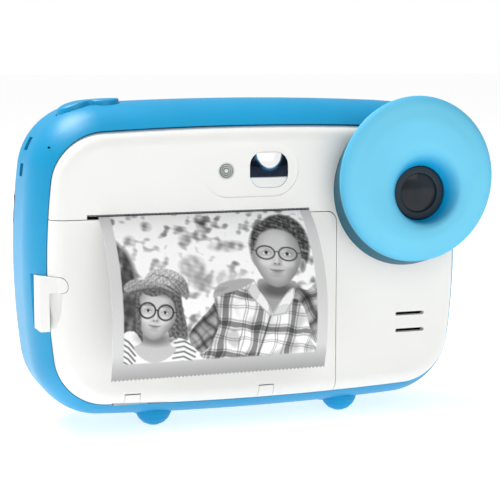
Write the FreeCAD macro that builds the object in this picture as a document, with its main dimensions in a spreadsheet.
"""A children's camera that prints its pictures: white fascias in a blue shell, a big ring
round the lens, and a thermal printer behind a door in the front.

The camera's own axes: X to the right as seen from the front, Y from the front fascia's face
to the back, Z up from mid height. Every length is in millimetres. Each sub-part is built on
those axes and then shifted, so that the model's origin is the centre of its base.
"""
import FreeCAD, Part
import math
import os
import re
import Sketcher

# ---------------------------------------------------------------- driving dimensions

CELLS = {
    # Blue shell: an outline of eight tangent arcs, rounded at the front and at the back.
    "shell_half_width": 61.0, "shell_half_height": 41.9, "shell_top_radius": 848.0,
    "shell_side_radius": 190.0, "shell_corner_radius": 18.4, "shell_middle": 0.0,
    "round_front": 16.0, "round_back": 18.0, "round_front_start": 15.0, "round_back_start": 26.0,
    "wall": 2.0, "rear_parting": 38.0,
    # White fascias, let into the shell.
    "cover_half_width": 56.5, "cover_half_height": 36.3, "cover_top_radius": 843.5,
    "cover_side_radius": 185.5, "cover_corner_radius": 13.9, "cover_middle": -1.0,
    "cover_depth": 4.5, "cover_round": 4.0, "cover_gap": 0.25,
    "rear_inset": 4.75, "rear_inner": 6.75, "rear_face": 42.0, "rear_round": 3.6,
    # Printer door in the left of the front fascia, and the slot above it.
    "door_right": 20.8, "door_top": 12.35, "door_corner": 2.75, "half_seam": 0.1,
    "slot_left": -47.0, "slot_right": 13.0, "slot_height": 1.2,
    "hinge_y": 2.6, "hinge_z": -35.8, "hinge_pin_radius": 0.75, "running_gap": 0.05,
    "lug_width": 4.0, "lug_top": -33.5, "lug_one": -35.5, "lug_two": 1.0, "lug_gap": 0.12,
    "lug_sweep": 3.65, "pin_half_length": 5.0,
    # Latch on the left side: a bar proud of the shell, and a tongue over the door.
    "latch_top": -2.0, "latch_low": -15.8, "latch_front": 0.9, "latch_left": -59.3,
    "latch_right": -56.7, "latch_round": 0.35, "latch_gap": 0.12, "latch_x": -57.85,
    "latch_y": 7.5, "latch_knuckle": 1.45, "latch_pin_radius": 0.35, "latch_swing": 1.6,
    "latch_pin_reach": 1.2,
    "tongue_low": -6.0, "tongue_tip": -52.1, "tongue_upper": 2.5, "tongue_lower": 1.4,
    # Finger scoop in the door's edge below the tongue: how far it cuts at its top.
    "scoop_x": -58.46, "scoop_y": -1.96, "scoop_radius": 5.4, "scoop_taper": 1.0,
    # Lens and the ring round it.
    "ring_x": 40.9, "ring_z": 20.9, "ring_radius": 22.0, "ring_edge": 7.0, "ring_height": 9.4,
    "ring_crest": 14.5, "ring_foot": 21.0, "ring_drop": 2.85,
    "lens_x": 42.9, "lens_z": 16.9, "bezel_radius": 7.25, "glass_radius": 5.25,
    "bezel_front": 4.0, "barrel_back": 14.0,
    # Flash, mirror and the shallow pill round them.
    "flash_x": -9.9, "flash_radius": 2.25, "mirror_x": 1.8, "mirror_width": 10.5,
    "mirror_height": 9.3, "mirror_bulge": 22.0, "finder_z": 23.8, "pill_x": -3.3,
    "pill_half_length": 13.2, "pill_radius": 7.0, "pill_depth": 0.3,
    # Speaker with its slots, and the microphone's pinhole in the shell's upper left corner.
    "speaker_x": 42.55, "speaker_z": -18.7, "speaker_radius": 10.0, "speaker_front": 6.6,
    "grille_length": 8.5, "grille_height": 1.0, "grille_pitch": 4.6,
    "microphone_x": -55.0, "microphone_z": 30.35, "microphone_hole": 0.3,
    "microphone_front": 9.6,
    # Openings in the left side: two for a wrist strap, two for the sockets.
    "strap_y": 21.0, "strap_deep": 4.0, "strap_tall": 3.4, "strap_upper_z": 30.6,
    "strap_lower_z": 23.8, "ports_y": 29.9, "port_gap": 0.2, "port_lip": 0.4,
    "usb_z": 13.2, "usb_tall": 7.6, "usb_deep": 3.3, "card_z": -5.0, "card_tall": 12.0,
    "card_deep": 1.7,
    # Shutter button.
    "button_x": -42.65, "button_y": 16.3, "button_lobe": 4.2, "button_half_pitch": 3.95,
    "button_neck": 1.8, "button_proud": 1.2, "button_gap": 0.3, "button_base": 34.2,
    "button_flange": 0.8, "button_travel": 1.0, "switch_z": 29.5,
    # Feet.
    "foot_left": -26.3, "foot_right": 27.4, "foot_front": 14.0, "foot_back": 27.0,
    "foot_radius": 5.0, "foot_seat": -40.4, "foot_bottom": -45.0, "foot_stem": 1.5,
    "foot_stem_top": -37.0,
    # Paper, its roll and the bucket that holds it.
    "paper_left": -44.0, "paper_right": 13.0, "paper_thick": 0.25, "roll_radius": 13.0,
    "core_radius": 6.0, "core_bore": 5.0, "roll_y": 19.8, "roll_z": -15.5,
    "bucket_left": -47.0, "bucket_right": 16.0, "bucket_front": 6.6, "bucket_back": 34.5,
    "bucket_low": -30.8, "bucket_top": -0.5, "bucket_wall": 1.5,
    "bay_left": -49.0, "bay_right": 20.2, "bay_low": -30.0, "bay_top": 13.8,
    # The strip of printed paper that hangs from the slot: two tangent arcs.
    "strip_reach": -13.6, "strip_turn": -13.0, "strip_upper": 31.5, "strip_lower": 43.7,
    "strip_low": -27.2,
    # Platen roller, print head and gear train.
    "platen_y": 7.6, "platen_z": 6.2, "platen_radius": 3.8, "shaft_radius": 1.5,
    "bushing_radius": 2.5, "shaft_left": -48.4, "gear_module": 0.5, "gear_left": 16.9,
    "gear_right": 19.3, "platen_teeth": 18.0, "idler_teeth": 26.0, "pinion_teeth": 12.0,
    "idler_pin": 1.0, "motor_radius": 6.0, "motor_left": 2.0, "motor_shaft": 0.75,
    "ear_left": -47.6, "ear_right": 14.6, "ear_thick": 1.5, "ear_reach": 3.2,
    "ear_half_height": 4.0, "head_gap": 0.3, "head_back": 13.0, "head_low": 2.0,
    "head_top": 12.0, "sink_back": 15.5, "spring_left": -34.0, "spring_right": 3.0,
    # Printer frame, and the tear bar below its top.
    "frame_left": -47.4, "frame_right": 16.0, "frame_front": 8.0, "frame_side_front": 13.0,
    "frame_back": 20.0, "frame_deep": 34.4, "frame_thick": 1.2, "frame_top": 14.5,
    "tear_z": 13.05, "tear_thick": 0.4, "tear_front": 1.0, "tear_back": 13.0,
    "tear_point": 0.7, "tear_pitch": 1.04, "tear_count": 57.0,
    # Screen, keys and boards.
    "screen_x": 14.0, "screen_width": 50.0, "screen_height": 38.0, "window_width": 57.0,
    "window_height": 44.0, "window_thick": 0.8, "keys_x": -34.0, "keys_z": -4.0,
    "key_pitch": 10.0, "key_radius": 3.2, "key_gap": 0.25, "key_proud": 1.0,
    "screw_x": 50.3, "screw_z": 21.5, "boss_radius": 3.0, "screw_radius": 1.0,
    "screw_head": 2.0, "screw_sunk": 1.2, "board_thick": 1.2, "lcd_front": 36.6,
    "lcd_back": 39.8, "lcd_width": 58.0, "lcd_height": 44.0, "key_back": 38.8,
    "key_flange": 0.9, "main_x": 34.4, "main_width": 24.8, "main_height": 62.0,
    "main_y": 30.0, "battery_x": 34.0, "battery_width": 25.0, "battery_y": 22.0,
    "battery_depth": 10.0, "battery_z": -13.0, "battery_height": 40.0,
    "chip_width": 10.0,
    # From the camera's own axes to the centre of its base.
    "shift_x": -0.95, "shift_y": -14.7, "shift_z": 45.0,
}

doc = FreeCAD.newDocument("camera")
sheet = doc.addObject("Spreadsheet::Sheet", "dims")
for row, (alias, value) in enumerate(CELLS.items(), start=1):
    sheet.set(f"A{row}", alias)
    sheet.set(f"B{row}", str(value))
    sheet.setAlias(f"B{row}", alias)
doc.recompute()

places = {}
sub_parts = []


# ---------------------------------------------------------------- building blocks

def number(formula):
    """The value of a sum of cells and numbers, such as 'bucket_left + 2*wall'."""
    total, sign = 0.0, 1.0
    for word in formula.split():
        if word in "+-":
            sign = -sign if word == "-" else sign
            continue
        product = sign
        for factor in word.split("*"):
            product *= CELLS[factor] if factor in CELLS else float(factor)
        total += product
        sign = 1.0
    return total


def around(middle, size, margin="0"):
    """Two formulas, half a size and a margin below and above a middle."""
    return (f"{middle} - 0.5*{size} - {margin}", f"{middle} + 0.5*{size} + {margin}")


def corners_of_back():
    """The two signs of each of the back's four corners, as the start of a formula."""
    return [(side, up) for side in ("", "- ") for up in ("", "- ")]


def bind(thing, prop, formula):
    """Drive a property by a formula over the sheet's cells."""
    words = re.sub(r"[a-z]\w*", lambda found: "dims." + found.group(0), formula)
    thing.setExpression(prop, words)


def put(thing, x="0", y="0", z="0"):
    """Place an object, and remember where for when it is shifted as a sub-part."""
    places[thing.Name] = (x, y, z)
    for axis, formula in zip("xyz", (x, y, z)):
        bind(thing, f"Placement.Base.{axis}", formula)
    return thing


def sub_part(label, solid):
    """Name a finished sub-part and shift it to the model's origin."""
    solid.Label = label
    own = places.get(solid.Name, ("0", "0", "0"))
    for axis, formula in zip("xyz", own):
        bind(solid, f"Placement.Base.{axis}", f"{formula} + shift_{axis}")
    sub_parts.append(solid)
    return solid


def block(name, x, y, z):
    """A box between two formulas along each axis."""
    solid = doc.addObject("Part::Box", name)
    for prop, (low, high) in zip(("Length", "Width", "Height"), (x, y, z)):
        bind(solid, prop, f"({high}) - ({low})")
    return put(solid, x[0], y[0], z[0])


TURN = {
    "x": FreeCAD.Rotation(FreeCAD.Vector(0, 1, 0), 90),
    "y": FreeCAD.Rotation(FreeCAD.Vector(1, 0, 0), -90),
    "z": FreeCAD.Rotation(),
}


def rod(name, axis, radius, low, high, *across):
    """A cylinder along an axis, from low to high, at two formulas across it."""
    solid = doc.addObject("Part::Cylinder", name)
    bind(solid, "Radius", radius)
    bind(solid, "Height", f"({high}) - ({low})")
    solid.Placement.Rotation = TURN[axis]
    where = list(across)
    where.insert("xyz".index(axis), low)
    return put(solid, *where)


def ball(name, radius, x, y, z):
    solid = doc.addObject("Part::Sphere", name)
    bind(solid, "Radius", radius)
    return put(solid, x, y, z)


def fuse(name, *solids):
    joined = doc.addObject("Part::MultiFuse", name)
    joined.Shapes = list(solids)
    joined.Refine = True
    return joined


def cut(name, base, *tools):
    """The base less every tool."""
    tool = tools[0]
    if len(tools) > 1:
        tool = doc.addObject("Part::MultiFuse", name + "_tools")
        tool.Shapes = list(tools)
    result = doc.addObject("Part::Cut", name)
    result.Base = base
    result.Tool = tool
    return result


def common(name, *solids):
    result = doc.addObject("Part::MultiCommon", name)
    result.Shapes = list(solids)
    return result


def new_body(name):
    return doc.addObject("PartDesign::Body", name)


def plane_of(body, role):
    return next(item for item in body.Origin.OriginFeatures if item.Role == role)


def new_sketch(body, name, plane, offset=None):
    """A sketch on one of the body's own planes, moved along its normal by a formula."""
    sketch = body.newObject("Sketcher::SketchObject", name)
    sketch.AttachmentSupport = [(plane_of(body, plane), "")]
    sketch.MapMode = "FlatFace"
    if offset:
        bind(sketch, "AttachmentOffset.Base.z", offset)
    return sketch


def pin_vertex(sketch, piece, end, x, y):
    """Hold one end of a sketch line or arc at two formulas."""
    for kind, formula in (("DistanceX", x), ("DistanceY", y)):
        index = sketch.addConstraint(Sketcher.Constraint(kind, piece, end, number(formula)))
        bind(sketch, f"Constraints[{index}]", formula)


def polygon(sketch, points):
    """A closed outline whose every corner is held at two formulas."""
    corners = [FreeCAD.Vector(number(x), number(y), 0) for x, y in points]
    count = len(corners)
    for index, corner in enumerate(corners):
        following = corners[(index + 1) % count]
        sketch.addGeometry(Part.LineSegment(corner, following), False)
    for index in range(count):
        sketch.addConstraint(
            Sketcher.Constraint("Coincident", index, 2, (index + 1) % count, 1))
    for index, (x, y) in enumerate(points):
        pin_vertex(sketch, index, 1, x, y)


def ring_of_arcs(sketch, arcs):
    """A closed outline of tangent arcs, each (centre, radius, from, to) with a binding.

    arcs holds, for each arc, its centre's two formulas or None, its radius formula, its
    centre as a vector and its two end points; they run anticlockwise round the outline.
    """
    for arc in arcs:
        centre, radius = arc["middle"], number(arc["radius"])
        angles = [math.atan2(end.y - centre.y, end.x - centre.x) for end in arc["ends"]]
        circle = Part.Circle(centre, FreeCAD.Vector(0, 0, 1), radius)
        sketch.addGeometry(Part.ArcOfCircle(circle, *angles), False)
    count = len(arcs)
    for index, arc in enumerate(arcs):
        following = (index + 1) % count
        last = 1 if arc.get("hollow") else 2
        first = 2 if arcs[following].get("hollow") else 1
        sketch.addConstraint(Sketcher.Constraint("Tangent", index, last, following, first))
    for index, arc in enumerate(arcs):
        held = sketch.addConstraint(Sketcher.Constraint("Radius", index, number(arc["radius"])))
        bind(sketch, f"Constraints[{held}]", arc["radius"])
        if arc["centre"]:
            pin_vertex(sketch, index, 3, *arc["centre"])


def outline(sketch, family, inset="0"):
    """Eight tangent arcs: long flat ones on the four sides and a round one at each corner.

    The centres lie on the outline's own middle lines, so an inset gives a parallel outline.
    """
    half_width = number(f"{family}_half_width - {inset}")
    half_height = number(f"{family}_half_height - {inset}")
    top = number(f"{family}_top_radius - {inset}")
    side = number(f"{family}_side_radius - {inset}")
    corner = number(f"{family}_corner_radius - {inset}")
    middle = number(f"{family}_middle")
    # The corner's centre lies top - corner from the top arc's centre, and side - corner
    # from the side arc's.
    low, left = half_height - top, half_width - side
    far, near = top - corner, side - corner
    gap = math.hypot(left, low)
    along = (near * near - far * far + gap * gap) / (2 * gap)
    off = math.sqrt(near * near - along * along)
    ux, uz = -left / gap, low / gap
    corner_x = left + along * ux - off * uz
    corner_z = along * uz + off * ux

    def point(x, z):
        return FreeCAD.Vector(x, z + middle, 0)

    def away(start_x, start_z, reach):
        length = math.hypot(corner_x - start_x, corner_z - start_z)
        return (start_x + (corner_x - start_x) * reach / length,
                start_z + (corner_z - start_z) * reach / length)

    top_x, top_z = away(0, low, top)
    side_x, side_z = away(left, 0, side)
    arcs = []
    # Anticlockwise from the right side: (side arc, corner) then (top arc, corner), twice.
    for turn in (1, -1):
        flip = "" if turn == 1 else "- "
        side_sum = f"{family}_half_width - {family}_side_radius"
        top_sum = f"{family}_half_height - {family}_top_radius"
        if turn == -1:
            side_sum = f"{family}_side_radius - {family}_half_width"
            top_sum = f"{family}_top_radius - {family}_half_height"
        arcs.append({
            "centre": (side_sum, f"{family}_middle"), "radius": f"{family}_side_radius - {inset}",
            "middle": point(turn * left, 0),
            "ends": [point(turn * side_x, -turn * side_z), point(turn * side_x, turn * side_z)]})
        arcs.append({
            "centre": None, "radius": f"{family}_corner_radius - {inset}",
            "middle": point(turn * corner_x, turn * corner_z),
            "ends": [point(turn * side_x, turn * side_z), point(turn * top_x, turn * top_z)]})
        arcs.append({
            "centre": ("0", f"{top_sum} + {family}_middle"),
            "radius": f"{family}_top_radius - {inset}", "middle": point(0, turn * low),
            "ends": [point(turn * top_x, turn * top_z), point(-turn * top_x, turn * top_z)]})
        arcs.append({
            "centre": None, "radius": f"{family}_corner_radius - {inset}",
            "middle": point(-turn * corner_x, turn * corner_z),
            "ends": [point(-turn * top_x, turn * top_z), point(-turn * side_x, turn * side_z)]})
    ring_of_arcs(sketch, arcs)


def edges_at(shape, y):
    """The names of the edges that lie in the plane at a height along Y."""
    names = []
    for index, edge in enumerate(shape.Edges, start=1):
        box = edge.BoundBox
        if abs(box.YMin - y) < 1e-4 and abs(box.YMax - y) < 1e-4:
            names.append(f"Edge{index}")
    return names


def pad_between(body, sketch, low, high):
    """Pad a sketch that lies at low in an XZ plane back to high."""
    pad = body.newObject("PartDesign::Pad", sketch.Name + "_pad")
    pad.Profile = sketch
    pad.Reversed = True
    bind(pad, "Length", f"({high}) - ({low})")
    return pad


def round_edges(body, feature, y, radius):
    doc.recompute()
    fillet = body.newObject("PartDesign::Fillet", feature.Name + "_round")
    fillet.Base = (feature, edges_at(feature.Shape, number(y)))
    bind(fillet, "Radius", radius)
    return fillet


def slab(name, family, inset, low, high, round_low=None, round_high=None):
    """A solid of an outline between two depths, its front and back edges rounded."""
    body = new_body(name)
    sketch = new_sketch(body, name + "_outline", "XZ_Plane", f"- ({low})")
    outline(sketch, family, inset)
    feature = pad_between(body, sketch, low, high)
    if round_low:
        feature = round_edges(body, feature, low, round_low)
    if round_high:
        feature = round_edges(body, feature, high, round_high)
    return body


def turned(name, axis, points, x="0", y="0", z="0"):
    """A body turned from a profile of (radius, height) points about its own axis."""
    body = new_body(name)
    plane = {"x": "XY_Plane", "y": "XY_Plane", "z": "XZ_Plane"}[axis]
    sketch = new_sketch(body, name + "_profile", plane)
    if axis == "x":
        points = [(height, radius) for radius, height in points]
    polygon(sketch, points)
    turn = body.newObject("PartDesign::Revolution", name + "_turn")
    turn.Profile = sketch
    turn.ReferenceAxis = (sketch, ["H_Axis" if axis == "x" else "V_Axis"])
    turn.Angle = 360
    return put(body, x, y, z)


def tube_points(inner, outer, low, high):
    return [(inner, low), (outer, low), (outer, high), (inner, high)]


def loft(name, steps):
    """A solid through circles that stand across Y, each (y, radius, x, z)."""
    circles = []
    for y, radius, x, z in steps:
        circle = doc.addObject("Part::Circle", f"{name}{len(circles)}")
        bind(circle, "Radius", radius)
        circle.Placement.Rotation = TURN["y"]
        circles.append(put(circle, x, y, z))
    solid = doc.addObject("Part::Loft", name)
    solid.Sections = circles
    solid.Solid = True
    return solid


# ---------------------------------------------------------------- shared forms

shell_form = slab("shell_form", "shell", "0", "round_front_start - round_front",
                  "round_back_start + round_back", "round_front", "round_back")
shell_inside = slab("shell_inside", "shell", "wall", "round_front_start - round_front + wall",
                    "round_back_start + round_back - wall", "round_front - wall",
                    "round_back - wall")
cover_form = slab("cover_form", "cover", "0", "0", "cover_depth - half_seam", "cover_round")
cover_inside = slab("cover_inside", "cover", "wall", "wall", "cover_depth + wall",
                    "cover_round - wall")
behind_front = block("behind_front", ("- 80", "80"), ("cover_depth + wall", "rear_parting"),
                     ("- 60", "60"))
cavity = common("cavity", shell_inside, behind_front)


def door_area(name, seam):
    """The door's part of the front: everything below the slot and left of the door's edge."""
    body = new_body(name)
    sketch = new_sketch(body, name + "_outline", "XZ_Plane", "5")
    right = f"door_right {seam}"
    top = f"door_top {seam}"
    polygon(sketch, [("- 60", "- 45"), (right, "- 45"), (right, top), ("- 60", top)])
    pad = pad_between(body, sketch, "- 5", "cover_depth + 5")
    doc.recompute()
    wanted = []
    for index, edge in enumerate(pad.Shape.Edges, start=1):
        box = edge.BoundBox
        at_corner = abs(box.XMin - number(right)) < 1e-4 and abs(box.ZMin - number(top)) < 1e-4
        if at_corner and box.YLength > 1:
            wanted.append(f"Edge{index}")
    fillet = body.newObject("PartDesign::Fillet", name + "_corner")
    fillet.Base = (pad, wanted)
    bind(fillet, "Radius", "door_corner")
    return body


def boxes_at_lugs(name, margin, back):
    """A box round each of the two hinge lugs."""
    found = []
    for lug in ("lug_one", "lug_two"):
        found.append(block(f"{name}_{lug}", around(lug, "lug_width", margin), ("- 5", back),
                           ("- 45", f"lug_top + {margin}")))
    return found


def tongue_prism(name, margin):
    """The latch tongue's D shape, from the left edge of the fascia to a round tip."""
    body = new_body(name)
    sketch = new_sketch(body, name + "_outline", "XZ_Plane", "5")
    top, low = f"latch_top + {margin}", f"tongue_low - {margin}"
    tip = f"tongue_tip + {margin}"
    polygon(sketch, [("- 60", low), (tip, low), (tip, top), ("- 60", top)])
    pad = pad_between(body, sketch, "- 5", "cover_depth - half_seam")
    doc.recompute()
    feature = pad
    for corner, radius in ((top, "tongue_upper"), (low, "tongue_lower")):
        wanted = []
        for index, edge in enumerate(feature.Shape.Edges, start=1):
            box = edge.BoundBox
            along_y = box.YLength > 1 and box.ZLength < 1e-4
            at_corner = (abs(box.XMin - number(tip)) < 1e-4
                         and abs(box.ZMin - number(corner)) < 1e-4)
            if along_y and at_corner:
                wanted.append(f"Edge{index}")
        fillet = body.newObject("PartDesign::Fillet", f"{name}_{radius}")
        fillet.Base = (feature, wanted)
        bind(fillet, "Radius", radius)
        doc.recompute()
        feature = fillet
    return body


def peanut_prism(name, margin, low, high):
    """The shutter button's outline, two lobes and a neck, between two heights."""
    body = new_body(name)
    sketch = new_sketch(body, name + "_outline", "XY_Plane", low)
    lobe = number(f"button_lobe + {margin}")
    neck = number(f"button_neck - {margin}")
    pitch = number("button_half_pitch")
    middle_x, middle_y = number("button_x"), number("button_y")
    rise = math.sqrt((lobe + neck) ** 2 - pitch ** 2)
    share = lobe / (lobe + neck)

    def point(x, y):
        return FreeCAD.Vector(middle_x + x, middle_y + y, 0)

    def touch(side, up):
        return point(side * pitch * (1 - share), up * rise * share)

    arcs = []
    for side in (1, -1):
        sum_x = "button_x + button_half_pitch" if side == 1 else "button_x - button_half_pitch"
        arcs.append({
            "centre": (sum_x, "button_y"), "radius": f"button_lobe + {margin}",
            "middle": point(side * pitch, 0), "ends": [touch(side, -side), touch(side, side)]})
        arcs.append({
            "centre": None, "radius": f"button_neck - {margin}", "hollow": True,
            "middle": point(0, side * rise), "ends": [touch(-side, side), touch(side, side)]})
    ring_of_arcs(sketch, arcs)
    pad = body.newObject("PartDesign::Pad", name + "_pad")
    pad.Profile = sketch
    bind(pad, "Length", f"({high}) - ({low})")
    return body


# ---------------------------------------------------------------- blue shell

def make_housing():
    """The blue shell: walls, a front wall behind the fascia, and every opening in it."""
    bosses = []
    for side, up in corners_of_back():
        name = f"boss{len(bosses)}"
        bosses.append(rod(name, "y", "boss_radius", "round_front", "rear_parting",
                          f"{side}screw_x", f"{up}screw_z"))
        reach = ("- shell_half_width", "- screw_x") if side else (
            "screw_x", "shell_half_width")
        bosses.append(block(f"{name}_rib", reach, ("round_front", "rear_parting"),
                            around(f"{up}screw_z", "wall")))
    walls = cut("shell_walls", shell_form, cavity)
    solid = common("shell_solid", shell_form, fuse("shell_and_bosses", walls, *bosses))
    recess = slab("cover_recess", "cover", "- cover_gap", "- 10", "cover_depth")
    tools = [
        recess,
        block("behind_shell", ("- 80", "80"), ("rear_parting", "60"), ("- 60", "60")),
        block("bay", ("bay_left", "bay_right"), ("0", "2*cover_depth"), ("bay_low", "bay_top")),
        block("hinge_window", ("lug_one - 5", "lug_two + 5"), ("0", "2*cover_depth"),
              ("hinge_z + 0.5", "bay_low + 1")),
        rod("lens_passage", "y", "bezel_radius + 0.3", "0", "10", "lens_x", "lens_z"),
        rod("speaker_window", "y", "speaker_radius - 1", "0", "speaker_front", "speaker_x",
            "speaker_z"),
        rod("flash_passage", "y", "flash_radius + 0.3", "0", "10", "flash_x", "finder_z"),
        peanut_prism("button_hole", "button_gap", "33", "50"),
        block("latch_notch", ("- 70", "latch_right + latch_gap"),
              ("0", "latch_y + latch_swing"),
              ("latch_low - latch_gap", "latch_top + latch_gap")),
        rod("latch_relief", "z", "latch_swing", "latch_low - latch_gap",
            "latch_top + latch_gap", "latch_x", "latch_y"),
        rod("latch_pin_hole", "z", "latch_pin_radius", "latch_low - latch_pin_reach",
            "latch_top + latch_pin_reach", "latch_x", "latch_y"),
        rod("microphone_passage", "y", "microphone_hole", "0", "microphone_front - 0.1",
            "microphone_x", "microphone_z"),
    ]
    for level in ("strap_upper_z", "strap_lower_z"):
        tools.append(block(f"{level}_hole", ("- 70", "- 52"), around("strap_y", "strap_deep"),
                           around(level, "strap_tall")))
    for label, (_, _, middle, tall, deep) in PORTS.items():
        tools.append(block(f"{label}_window", ("- 70", "- 55"),
                           (f"ports_y - {deep} - port_gap", "ports_y + port_gap"),
                           around(middle, tall, "port_gap")))
    for side in ("foot_left", "foot_right"):
        for depth in ("foot_front", "foot_back"):
            tools.append(rod(f"{side}_{depth}_seat", "z", "foot_radius + 0.1", "- 50",
                             "foot_seat", side, depth))
            tools.append(rod(f"{side}_{depth}_stem", "z", "foot_stem", "- 50",
                             "foot_stem_top + 2", side, depth))
    for side, up in corners_of_back():
        tools.append(rod(f"screw_bore{len(tools)}", "y", "screw_radius", "25", "50",
                         f"{side}screw_x", f"{up}screw_z"))
    sub_part("housing", cut("housing", solid, *tools))


def make_feet():
    """Four domed rubber feet, each pushed into a seat in the shell's underside."""
    profile = [("0", "foot_bottom"), ("1.4", "foot_bottom"), ("2.9", "foot_bottom + 0.7"),
               ("4.1", "foot_bottom + 1.9"), ("4.8", "foot_bottom + 3.3"),
               ("foot_radius", "foot_seat"), ("foot_stem", "foot_seat"),
               ("foot_stem", "foot_stem_top"), ("0", "foot_stem_top")]
    for side, side_name in (("foot_left", "left"), ("foot_right", "right")):
        for depth, depth_name in (("foot_front", "front"), ("foot_back", "rear")):
            label = f"foot_{depth_name}_{side_name}"
            sub_part(label, turned(label, "z", profile, side, depth))


def make_shutter():
    """The shutter button, which follows the shell's corner, and the switch under it."""
    proud = slab("proud_form", "shell", "- button_proud",
                 "round_front_start - round_front - button_proud",
                 "round_back_start + round_back + button_proud",
                 "round_front + button_proud", "round_back + button_proud")
    cap = common("button_cap", proud, peanut_prism(
        "button_prism", "0", "button_base + button_flange", "50"))
    flange = peanut_prism("button_rim", "0.6", "button_base", "button_base + button_flange")
    sub_part("shutter_button", fuse("shutter_button", cap, flange))
    board = block("shutter_board", around("button_x", "15"), around("button_y", "8"),
                  ("switch_z", "switch_z + board_thick"))
    switch = rod("shutter_dome", "z", "2.5", "switch_z + board_thick",
                 "button_base - button_travel - 0.05", "button_x", "button_y")
    sub_part("shutter_switch", fuse("shutter_switch", board, switch))


# ---------------------------------------------------------------- white fascias

def make_front_cover():
    """The fixed L-shaped part of the front: the band above the door and the one beside it."""
    slots = []
    for up in ("+", "-"):
        middle = f"speaker_z {up} 0.5*grille_pitch"
        across = ("speaker_x - 0.5*grille_length + 0.5", "speaker_x + 0.5*grille_length - 0.5")
        slots.append(block(f"grille{len(slots)}", across, ("- 5", "5"),
                           around(middle, "grille_height")))
        for end in across:
            slots.append(rod(f"grille{len(slots)}", "y", "0.5*grille_height", "- 5", "5",
                             end, middle))
    pill = [
        block("pill_middle", ("pill_x - pill_half_length + pill_radius",
                              "pill_x + pill_half_length - pill_radius"),
              ("- 1", "pill_depth"), ("finder_z - pill_radius", "finder_z + pill_radius")),
        rod("pill_left", "y", "pill_radius", "- 1", "pill_depth",
            "pill_x - pill_half_length + pill_radius", "finder_z"),
        rod("pill_right", "y", "pill_radius", "- 1", "pill_depth",
            "pill_x + pill_half_length - pill_radius", "finder_z"),
    ]
    sub_part("front_cover", cut(
        "front_cover", cover_form, cover_inside, door_area("beside_door", "+ half_seam"),
        block("print_slot", ("slot_left", "slot_right"), ("- 5", "cover_depth + 5"),
              ("0", "door_top + slot_height")),
        rod("lens_hole", "y", "bezel_radius + 0.25", "- 5", "10", "lens_x", "lens_z"),
        rod("flash_hole", "y", "flash_radius", "- 5", "10", "flash_x", "finder_z"),
        mirror_prism("mirror_seat", "0.05", "- 5", "1.3"), *pill, *slots))


def mirror_prism(name, margin, low, high):
    """The selfie mirror's rounded square between two depths."""
    body = new_body(name)
    sketch = new_sketch(body, name + "_outline", "XZ_Plane", f"- ({low})")
    left, right = around("mirror_x", "mirror_width", margin)
    base, top = around("finder_z", "mirror_height", margin)
    polygon(sketch, [(left, base), (right, base), (right, top), (left, top)])
    pad = pad_between(body, sketch, low, high)
    doc.recompute()
    upright = [f"Edge{index}" for index, edge in enumerate(pad.Shape.Edges, start=1)
               if edge.BoundBox.YLength > 1]
    fillet = body.newObject("PartDesign::Fillet", name + "_corners")
    fillet.Base = (pad, upright)
    bind(fillet, "Radius", "0.38*mirror_height")
    return body


def make_paper_door():
    """The printer's door: its panel, two ears for the platen and the hinge's knuckles."""
    panel = common("door_panel", cover_form, door_area("door_face", "- half_seam"))
    above_hinge = block("above_hinge", ("- 80", "80"), ("0", "10"), ("lug_top + 0.1", "60"))
    hollow = common("door_hollow", cover_inside, above_hinge)
    ears = []
    for ear in ("ear_left", "ear_right"):
        ears.append(block(ear, (ear, f"{ear} + ear_thick"),
                          ("wall - 0.5", "platen_y + ear_reach"),
                          around("platen_z", "2*ear_half_height")))
    solid = fuse("door_solid", cut("door_shell", panel, hollow), *ears)
    pin_holes = rod("door_pin_holes", "x", "hinge_pin_radius + running_gap",
                    "lug_one - pin_half_length", "lug_two + pin_half_length",
                    "hinge_y", "hinge_z")
    # Room for the lugs' front edges as the door swings round them.
    reliefs = [rod(f"{lug}_relief", "x", "lug_sweep", f"{lug} - 0.5*lug_width - lug_gap",
                   f"{lug} + 0.5*lug_width + lug_gap", "hinge_y", "hinge_z")
               for lug in ("lug_one", "lug_two")]
    # The finger scoop is turned about an upright axis, and runs out downwards.
    steps = 6
    levels = [(f"scoop_radius - {((steps - step) / steps) ** 2:.4f}*scoop_taper",
               f"latch_low - {step / steps:.4f}*latch_low + {step / steps:.4f}*tongue_low")
              for step in range(steps + 1)]
    scoop = turned("finger_scoop", "z", [("0", levels[0][1]), *levels, ("0", levels[-1][1])],
                   "scoop_x", "scoop_y")
    sub_part("paper_door", cut(
        "paper_door", solid, pin_holes, *reliefs, *boxes_at_lugs("notch", "lug_gap", "10"),
        tongue_prism("tongue_notch", "lug_gap"),
        block("hinge_relief", ("- 80", "80"), ("hinge_y + 0.8", "10"), ("- 45", "hinge_z - 0.5")),
        rod("bushing_holes", "x", "bushing_radius", "ear_left - 1", "ear_right + 2",
            "platen_y", "platen_z"),
        scoop))
    for side in ("left", "right"):
        name = f"platen_bushing_{side}"
        sub_part(name, turned(name, "x", tube_points(
            "shaft_radius + running_gap", "bushing_radius", f"ear_{side}",
            f"ear_{side} + ear_thick"), "0", "platen_y", "platen_z"))


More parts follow.
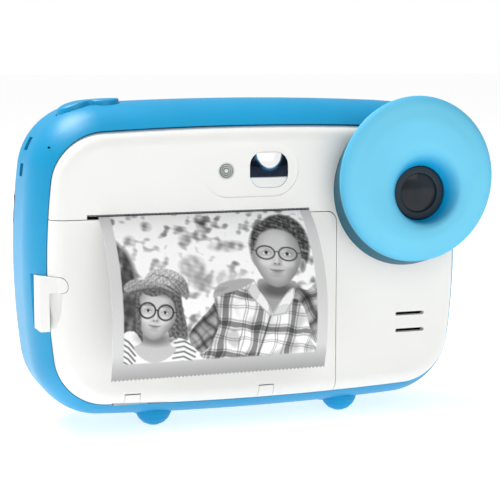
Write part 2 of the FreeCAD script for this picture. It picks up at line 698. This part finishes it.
def make_hinge():
    """The white bracket whose two lugs show in the door's lower edge, and its pins."""
    lugs = common("hinge_lugs", cover_form, fuse("lug_boxes", *boxes_at_lugs("lug", "0", "6")))
    strip = block("hinge_strip", ("lug_one - 4.8", "lug_two + 4.8"),
                  ("cover_depth", "cover_depth + wall"), ("hinge_z + 0.7", "bay_low - 1"))
    pins = rod("hinge_pin_bore", "x", "hinge_pin_radius", "lug_one - pin_half_length",
               "lug_two + pin_half_length", "hinge_y", "hinge_z")
    roots = [block(f"{lug}_root", around(lug, "lug_width"),
                   ("cover_depth - 0.5", "cover_depth + 0.5"), ("hinge_z + 0.7", "lug_top"))
             for lug in ("lug_one", "lug_two")]
    sub_part("hinge_bracket", cut("hinge_bracket", fuse("hinge_solid", lugs, strip, *roots),
                                  pins))
    rods = [rod(f"hinge_pin_{lug}", "x", "hinge_pin_radius", f"{lug} - pin_half_length + 0.3",
                f"{lug} + pin_half_length - 0.3", "hinge_y", "hinge_z")
            for lug in ("lug_one", "lug_two")]
    sub_part("hinge_pins", fuse("hinge_pins", *rods))


def make_latch():
    """The latch: a bar on a pin beside the door, with a tongue over the door's edge."""
    body = new_body("latch_bar")
    sketch = new_sketch(body, "latch_bar_outline", "XY_Plane", "latch_low")
    polygon(sketch, [("latch_left", "latch_front"), ("latch_right", "latch_front"),
                     ("latch_right", "latch_y"), ("latch_left", "latch_y")])
    pad = body.newObject("PartDesign::Pad", "latch_bar_pad")
    pad.Profile = sketch
    bind(pad, "Length", "latch_top - latch_low")
    doc.recompute()
    on_left = []
    for index, edge in enumerate(pad.Shape.Edges, start=1):
        box = edge.BoundBox
        behind = box.YMin > number("latch_y") - 1e-4
        if abs(box.XMax - number("latch_left")) < 1e-4 and not behind:
            on_left.append(f"Edge{index}")
    fillet = body.newObject("PartDesign::Fillet", "latch_bar_round")
    fillet.Base = (pad, on_left)
    bind(fillet, "Radius", "latch_round")
    knuckle = rod("latch_knuckle_rod", "z", "latch_knuckle", "latch_low", "latch_top",
                  "latch_x", "latch_y")
    face = cut("cover_wall", cover_form, cover_inside)
    tongue = common("latch_tongue", face, tongue_prism("tongue_form", "0"))
    root = block("tongue_root", ("latch_right - 0.5", "latch_right + wall"),
                 ("latch_front", "latch_front + wall"), ("tongue_low", "latch_top"))
    bore = rod("latch_bore", "z", "latch_pin_radius + running_gap", "latch_low", "latch_top",
               "latch_x", "latch_y")
    sub_part("door_latch", cut("door_latch", fuse("latch_solid", body, knuckle, tongue, root),
                               bore))
    sub_part("latch_pin", rod("latch_pin", "z", "latch_pin_radius",
                              "latch_low - latch_pin_reach", "latch_top + latch_pin_reach",
                              "latch_x", "latch_y"))


def make_rear_cover():
    """The white back, with its screen window, its key holes and its screw holes."""
    body = slab("rear_form", "shell", "rear_inset", "rear_parting", "rear_face", None,
                "rear_round")
    inside = slab("rear_inside", "shell", "rear_inner", "rear_parting - wall",
                  "rear_face - wall")
    posts, holes = [], []
    for side, up in corners_of_back():
        at = (f"{side}screw_x", f"{up}screw_z")
        name = f"rear_post{len(posts)}"
        posts.append(rod(name, "y", "boss_radius", "rear_parting", "rear_face - wall", *at))
        holes.append(rod(name + "_hole", "y", "screw_radius + 0.15", "30", "50", *at))
        holes.append(rod(name + "_seat", "y", "screw_head + 0.2", "rear_face - screw_sunk",
                         "50", *at))
    for key, (x, z, radius) in KEYS.items():
        holes.append(rod(f"{key}_hole", "y", f"{radius} + key_gap", "30", "50", x, z))
    holes.append(block("window_seat", around("screen_x", "window_width", "half_seam"),
                       ("rear_face - window_thick", "50"),
                       around("0", "window_height", "half_seam")))
    holes.append(block("screen_opening", around("screen_x", "screen_width"), ("30", "50"),
                       around("0", "screen_height")))
    solid = fuse("rear_solid", cut("rear_shell", body, inside), *posts)
    sub_part("rear_cover", cut("rear_cover", solid, *holes))


# ---------------------------------------------------------------- lens, flash and mirror

def make_lens():
    """The ring, whose face dips to the lens off its middle, and the lens itself."""
    profile = [("0", "- ring_edge"), ("ring_radius", "- ring_edge"),
               ("ring_radius - 0.5", "- ring_edge - 1"),
               ("ring_radius - 1.6", "- ring_edge - 1.6"),
               ("ring_radius - 4", "- ring_edge - 2.1"), ("ring_crest", "- ring_height"),
               ("0", "- ring_height")]
    crown = turned("ring_crown", "y", profile, "ring_x", "0", "ring_z")
    # The foot stands lower on the fascia than the face, so the side leans.
    side = loft("ring_side", [("0", "ring_foot", "ring_x", "ring_z - ring_drop"),
                              ("- ring_edge", "ring_radius", "ring_x", "ring_z")])
    # The face sinks gently, and steeply close to the lens.
    funnel = loft("funnel", [
        ("- ring_height", "ring_crest - 1.5", "ring_x + 0.6", "ring_z - 0.9"),
        ("- ring_height + 0.8", "10.4", "ring_x + 1.6", "ring_z - 2.2"),
        ("- ring_height + 1.8", "9.2", "lens_x + 0.2", "lens_z + 1.1"),
        ("- bezel_front - 2", "8.3", "lens_x + 0.2", "lens_z + 0.5"),
        ("- bezel_front", "bezel_radius + 0.15", "lens_x", "lens_z")])
    sub_part("lens_ring", cut(
        "lens_ring", fuse("ring_solid", crown, side), funnel,
        rod("ring_bore", "y", "bezel_radius + 0.15", "- 20", "5", "lens_x", "lens_z")))
    bezel = [("glass_radius", "- bezel_front + 0.3"), ("glass_radius + 0.3", "- bezel_front"),
             ("bezel_radius", "- bezel_front"), ("bezel_radius", "wall"),
             ("glass_radius", "wall")]
    sub_part("lens_bezel", turned("lens_bezel", "y", bezel, "lens_x", "0", "lens_z"))
    sub_part("lens_glass", turned("lens_glass", "y", [
        ("0", "- bezel_front + 0.1"), ("glass_radius", "- bezel_front + 0.4"),
        ("glass_radius", "- bezel_front + 1.8"), ("0", "- bezel_front + 1.8")],
        "lens_x", "0", "lens_z"))
    sub_part("lens_barrel", turned("lens_barrel", "y", [
        ("3.4", "- bezel_front + 1.9"), ("5.1", "- bezel_front + 1.9"), ("5.1", "3"),
        ("4.2", "3.4"), ("4.2", "barrel_back"), ("0", "barrel_back"), ("0", "barrel_back - 9"),
        ("3.4", "barrel_back - 9")], "lens_x", "0", "lens_z"))
    sub_part("sensor_board", block("sensor_board", ("lens_x - 6", "lens_x + 4"), (
        "barrel_back", "barrel_back + board_thick"), ("lens_z - 6", "lens_z + 6")))


def make_finder():
    """The flash, its board, and the small convex mirror for framing oneself."""
    sub_part("flash_lens", turned("flash_lens", "y", [
        ("0", "pill_depth"), ("flash_radius", "pill_depth"), ("flash_radius", "5"), ("0", "5")],
        "flash_x", "0", "finder_z"))
    board = block("flash_plate", ("flash_x - 7", "flash_x + 7"), ("6.7", "7.9"),
                  ("finder_z - 6.5", "finder_z + 6.5"))
    led = rod("flash_led", "y", "1.6", "5.2", "6.8", "flash_x", "finder_z")
    sub_part("flash_board", fuse("flash_board", board, led))
    dome = ball("mirror_dome", "mirror_bulge", "mirror_x", "mirror_bulge - 0.3", "finder_z")
    sub_part("selfie_mirror", common("selfie_mirror", dome,
                                     mirror_prism("mirror_form", "0", "- 2", "1.3")))


def make_sound():
    """The speaker behind its two slots, and the microphone behind its pinhole."""
    sub_part("speaker", turned("speaker", "y", [
        ("0", "speaker_front + 0.3"), ("speaker_radius - 2", "speaker_front"),
        ("speaker_radius", "speaker_front"), ("speaker_radius", "speaker_front + 2.4"),
        ("6", "speaker_front + 3.8"), ("6", "speaker_front + 5.4"),
        ("0", "speaker_front + 5.4")], "speaker_x", "0", "speaker_z"))
    sub_part("microphone", rod("microphone", "y", "2.2", "microphone_front",
                               "microphone_front + 2.4", "microphone_x + 4.4",
                               "microphone_z - 1.75"))


# ---------------------------------------------------------------- paper and printer

def make_paper():
    """The paper roll on its core, the bucket that holds it, and the printed strip."""
    across = ("paper_left", "paper_right")
    sub_part("paper_roll", turned("paper_roll", "x", tube_points(
        "core_radius", "roll_radius", *across), "0", "roll_y", "roll_z"))
    sub_part("roll_core", turned("roll_core", "x", tube_points(
        "core_bore", "core_radius", *across), "0", "roll_y", "roll_z"))
    outer = block("bucket_outer", ("bucket_left", "bucket_right"), (
        "bucket_front", "bucket_back"), ("bucket_low", "bucket_top"))
    inner = block("bucket_inner", (
        "bucket_left + bucket_wall", "bucket_right - bucket_wall"), (
        "bucket_front - 1", "bucket_back - bucket_wall"), (
        "bucket_low + bucket_wall", "bucket_top + 1"))
    hubs = [rod("left_hub", "x", "core_bore - running_gap", "bucket_left", "bucket_left + 5.5",
                "roll_y", "roll_z"),
            rod("right_hub", "x", "core_bore - running_gap", "bucket_right - 5.5",
                "bucket_right", "roll_y", "roll_z")]
    sub_part("paper_bucket", fuse("paper_bucket", cut("bucket_shell", outer, inner), *hubs))
    body = new_body("print_strip")
    sketch = new_sketch(body, "strip_outline", "YZ_Plane", "paper_left")
    strip_outline(sketch)
    pad = body.newObject("PartDesign::Pad", "strip_pad")
    pad.Profile = sketch
    bind(pad, "Length", "paper_right - paper_left")
    sub_part("print_strip", body)


def strip_outline(sketch):
    """The strip seen end on: it leans out of the slot, hangs, and curls back a little."""
    reach, turn = number("strip_reach"), number("strip_turn")
    thick, low = number("paper_thick"), number("strip_low")
    top = number("door_top + 0.5*slot_height")
    normal = FreeCAD.Vector(0, 0, 1)
    for base, radius in (("strip_upper", number("strip_upper")),
                         ("strip_lower", number("strip_lower"))):
        middle = FreeCAD.Vector(reach + radius, turn, 0)
        for shrink in (0, thick):
            arc = radius - shrink
            level = top if base == "strip_upper" else low
            end = math.pi - math.asin((level - turn) / arc)
            angles = sorted((math.pi, end))
            circle = Part.Circle(middle, normal, arc)
            piece = sketch.addGeometry(Part.ArcOfCircle(circle, *angles), False)
            held = sketch.addConstraint(Sketcher.Constraint("Radius", piece, arc))
            bind(sketch, f"Constraints[{held}]",
                 base if shrink == 0 else f"{base} - paper_thick")
            pin_vertex(sketch, piece, 3, f"strip_reach + {base}", "strip_turn")
    levels = [(piece, 1, "door_top + 0.5*slot_height") for piece in (0, 1)]
    levels += [(piece, 2, "strip_turn") for piece in (0, 1)]
    levels += [(piece, 1, "strip_turn") for piece in (2, 3)]
    levels += [(piece, 2, "strip_low") for piece in (2, 3)]
    for piece, end, level in levels:
        held = sketch.addConstraint(
            Sketcher.Constraint("DistanceY", piece, end, number(level)))
        bind(sketch, f"Constraints[{held}]", level)
    for outer, inner, end in ((0, 1, 1), (2, 3, 2)):
        ends = [sketch.getPoint(outer, end), sketch.getPoint(inner, end)]
        line = sketch.addGeometry(Part.LineSegment(*ends), False)
        sketch.addConstraint(Sketcher.Constraint("Coincident", line, 1, outer, end))
        sketch.addConstraint(Sketcher.Constraint("Coincident", line, 2, inner, end))


def gear(label, teeth, y, z, bore, turned_by):
    """A spur gear between the train's two faces, a tooth at turned_by degrees from +Y."""
    body = new_body(label)
    disc = new_sketch(body, label + "_disc", "YZ_Plane", "gear_left")
    half = f"0.5*{teeth}*gear_module"
    for radius in (f"{half} - 1.2*gear_module", bore):
        normal = FreeCAD.Vector(0, 0, 1)
        circle = Part.Circle(FreeCAD.Vector(0, 0, 0), normal, number(radius))
        piece = disc.addGeometry(circle, False)
        disc.addConstraint(Sketcher.Constraint("Coincident", piece, 3, -1, 1))
        held = disc.addConstraint(Sketcher.Constraint("Radius", piece, number(radius)))
        bind(disc, f"Constraints[{held}]", radius)
    wheel = body.newObject("PartDesign::Pad", label + "_wheel")
    wheel.Profile = disc
    bind(wheel, "Length", "gear_right - gear_left")
    tooth = new_sketch(body, label + "_tooth", "YZ_Plane", "gear_left")
    root, tip = f"{half} - 1.4*gear_module", f"{half} + 0.9*gear_module"
    polygon(tooth, [(root, "- 0.86*gear_module"), (tip, "- 0.24*gear_module"),
                    (tip, "0.24*gear_module"), (root, "0.86*gear_module")])
    flank = body.newObject("PartDesign::Pad", label + "_flank")
    flank.Profile = tooth
    bind(flank, "Length", "gear_right - gear_left")
    doc.recompute()
    pattern = body.newObject("PartDesign::PolarPattern", label + "_teeth")
    pattern.Originals = [flank]
    pattern.Axis = (disc, ["N_Axis"])
    pattern.Angle = 360
    pattern.Occurrences = int(number(teeth))
    body.Tip = pattern
    body.Placement.Rotation = FreeCAD.Rotation(FreeCAD.Vector(1, 0, 0), turned_by)
    sub_part(label, put(body, "0", y, z))


def make_printer():
    """The door's platen roller, the head and frame behind it, and the motor's gear train."""
    sub_part("platen_roller", turned("platen_roller", "x", tube_points(
        "shaft_radius", "platen_radius", "paper_left - 0.8", "paper_right + 0.8"),
        "0", "platen_y", "platen_z"))
    sub_part("platen_shaft", rod("platen_shaft", "x", "shaft_radius", "shaft_left",
                                 "gear_right", "platen_y", "platen_z"))
    sub_part("print_head", block("print_head", ("paper_left", "paper_right"), (
        "platen_y + platen_radius + head_gap", "head_back"), ("head_low", "head_top")))
    sub_part("heat_sink", block("heat_sink", ("paper_left - 0.8", "paper_right + 0.8"), (
        "head_back", "sink_back"), ("head_low - 0.2", "head_top + 0.4")))
    springs = [rod(f"head_{spring}", "y", "2", "sink_back", "frame_back", spring,
                   "platen_z + 1") for spring in ("spring_left", "spring_right")]
    sub_part("head_springs", fuse("head_springs", *springs))
    idler_y = "platen_y + 0.5*gear_module*platen_teeth + 0.5*gear_module*idler_teeth"
    motor_y = f"{idler_y} + 0.5*gear_module*idler_teeth + 0.5*gear_module*pinion_teeth"
    gear("platen_gear", "platen_teeth", "platen_y", "platen_z", "shaft_radius", 0)
    gear("idler_gear", "idler_teeth", idler_y, "platen_z", "idler_pin + running_gap",
         180 / number("idler_teeth"))
    gear("motor_pinion", "pinion_teeth", motor_y, "platen_z", "motor_shaft", 0)
    across = ("frame_left", "frame_right")
    back = "frame_back + frame_thick"
    frame = [
        block("frame_rear", across, ("frame_back", back), ("bucket_top", "frame_top")),
        block("frame_roof", across, ("frame_front", back), (
            "tear_z + tear_thick", "frame_top")),
        block("frame_left_side", ("frame_left", "frame_left + frame_thick"), (
            "frame_side_front", back), ("bucket_top", "frame_top")),
        block("frame_right_side", ("frame_right - frame_thick", "frame_right"), (
            "frame_side_front", "frame_deep"), ("bucket_top", "frame_top - 1")),
        rod("idler_stub", "x", "idler_pin", "frame_right - 1", "gear_right + 0.4", idler_y,
            "platen_z"),
    ]
    hole = rod("motor_hole", "x", "2", "10", "18", motor_y, "platen_z")
    sub_part("printer_frame", cut("printer_frame", fuse("frame_solid", *frame), hole))
    sub_part("stepper_motor", rod("stepper_body", "x", "motor_radius", "motor_left",
                                  "frame_right - frame_thick", motor_y, "platen_z"))
    sub_part("motor_shaft", rod("motor_spindle", "x", "motor_shaft",
                                "frame_right - frame_thick + 0.1", "gear_right", motor_y,
                                "platen_z"))


def make_tear_bar():
    """The steel strip in the slot that the print is torn off against, its edge in teeth."""
    body = new_body("tear_bar")
    plate = new_sketch(body, "tear_plate", "XY_Plane", "tear_z")
    left, right = "slot_left + 0.3", "slot_right - 0.3"
    polygon(plate, [(left, "tear_front"), (right, "tear_front"), (right, "tear_back"),
                    (left, "tear_back")])
    pad = body.newObject("PartDesign::Pad", "tear_pad")
    pad.Profile = plate
    bind(pad, "Length", "tear_thick")
    tooth = new_sketch(body, "tear_tooth", "XY_Plane", "tear_z")
    polygon(tooth, [(left, "tear_front + 0.1"),
                    (f"{left} + 0.5*tear_pitch", "tear_front - tear_point"),
                    (f"{left} + tear_pitch", "tear_front + 0.1")])
    point = body.newObject("PartDesign::Pad", "tear_point_pad")
    point.Profile = tooth
    bind(point, "Length", "tear_thick")
    doc.recompute()
    row = body.newObject("PartDesign::LinearPattern", "tear_teeth")
    row.Originals = [point]
    row.Direction = (plate, ["H_Axis"])
    row.Occurrences = int(number("tear_count"))
    row.Length = number("tear_count*tear_pitch - tear_pitch")
    body.Tip = row
    sub_part("tear_bar", body)


# ---------------------------------------------------------------- screen, keys and boards

KEYS = {
    "ok_key": ("keys_x", "keys_z", "key_radius + 0.8"),
    "up_key": ("keys_x", "keys_z + key_pitch", "key_radius"),
    "down_key": ("keys_x", "keys_z - key_pitch", "key_radius"),
    "left_key": ("keys_x + key_pitch", "keys_z", "key_radius"),
    "right_key": ("keys_x - key_pitch", "keys_z", "key_radius"),
    "menu_key": ("keys_x + key_pitch - 0.5", "keys_z + 18", "key_radius"),
    "print_key": ("keys_x - key_pitch + 0.5", "keys_z + 18", "key_radius"),
    "power_key": ("keys_x", "keys_z + 28", "key_radius"),
}


def make_keys():
    """The eight keys beside the screen, each a cap on a flange, over one switch board."""
    for label, (x, z, radius) in KEYS.items():
        sub_part(label, turned(label, "y", [
            ("0", "key_back"), (f"{radius} + 0.7", "key_back"),
            (f"{radius} + 0.7", "key_back + key_flange"), (radius, "key_back + key_flange"),
            (radius, "rear_face + key_proud - 0.5"),
            (f"{radius} - 0.5", "rear_face + key_proud"), ("0", "rear_face + key_proud")],
            x, "0", z))
    sub_part("key_board", block("key_board", (
        "keys_x - key_pitch - 2.8", "keys_x + key_pitch + 7"), (
        "lcd_front", "lcd_front + board_thick"), (
        "keys_z - key_pitch - 6", "keys_z + 3*key_pitch + 3")))


PORTS = {
    "usb_port": ("- 60", "- 53", "usb_z", "usb_tall", "usb_deep"),
    "card_socket": ("- 59.6", "- 50", "card_z", "card_tall", "card_deep"),
}


def make_ports():
    """The charging socket and the card socket in the left side, and their board."""
    for label, (mouth, end, middle, tall, deep) in PORTS.items():
        body = block(f"{label}_body", (mouth, end), (f"ports_y - {deep}", "ports_y"),
                     around(middle, tall))
        hollow = block(f"{label}_hollow", ("- 65", f"{end} - 2"),
                       (f"ports_y - {deep} + port_lip", "ports_y - port_lip"),
                       around(middle, tall, "- port_lip"))
        sub_part(label, cut(label, body, hollow))
    sub_part("port_board", block("port_board", ("- 56.8", "- 49.5"), (
        "ports_y", "ports_y + board_thick"), ("- 14", "18")))


def make_electronics():
    """The screen with its window, the battery and the main board with two chips."""
    sub_part("lcd_window", block("lcd_window", around("screen_x", "window_width"), (
        "rear_face - window_thick", "rear_face"), around("0", "window_height")))
    sub_part("lcd_panel", block("lcd_panel", around("screen_x", "lcd_width"), (
        "lcd_front", "lcd_back"), around("0", "lcd_height")))
    board = block("main_plate", around("main_x", "main_width"), (
        "main_y", "main_y + board_thick"), around("0", "main_height"))
    chips = []
    for name, middle, level in (("processor", "main_x", "4"), ("memory_chip", "main_x", "- 15")):
        chips.append(block(name, around(middle, "chip_width"), (
            "main_y + board_thick - 0.1", "main_y + board_thick + 1"),
            around(level, "chip_width")))
    sub_part("main_board", fuse("main_board", board, *chips))
    sub_part("battery", block("battery", around("battery_x", "battery_width"), around(
        "battery_y", "battery_depth"), around("battery_z", "battery_height")))


def make_screws():
    """The four screws that hold the back on."""
    profile = [("0", "27"), ("screw_radius", "27"), ("screw_radius", "rear_face - screw_sunk"),
               ("screw_head", "rear_face - screw_sunk"), ("screw_head", "rear_face - 0.3"),
               ("0.7", "rear_face - 0.3"), ("0.7", "rear_face - 0.9"), ("0", "rear_face - 0.9")]
    screws = [turned(f"case_screw{index}", "y", profile, f"{side}screw_x", "0", f"{up}screw_z")
              for index, (side, up) in enumerate(corners_of_back())]
    sub_part("case_screws", fuse("case_screws", *screws))


make_housing()
make_feet()
make_shutter()
make_front_cover()
make_paper_door()
make_hinge()
make_latch()
make_rear_cover()
make_lens()
make_finder()
make_sound()
make_paper()
make_printer()
make_tear_bar()
make_keys()
make_ports()
make_electronics()
make_screws()
doc.recompute()

# ---------------------------------------------------------------- check and write

for item in doc.Objects:
    if {"Invalid", "Error"} & set(item.State):
        raise RuntimeError(f"{item.Label} failed: {item.State}")
labels = [solid.Label for solid in sub_parts]
if len(set(labels)) != len(labels):
    raise RuntimeError("two sub-parts share a label")
for solid in sub_parts:
    if solid.Shape.isNull() or not solid.Shape.isValid():
        raise RuntimeError(f"{solid.Label} has a bad shape")

os.makedirs("parts", exist_ok=True)
for solid in sub_parts:
    solid.Shape.exportStep(f"parts/{solid.Label}.step")
print(len(sub_parts), "sub-parts written")
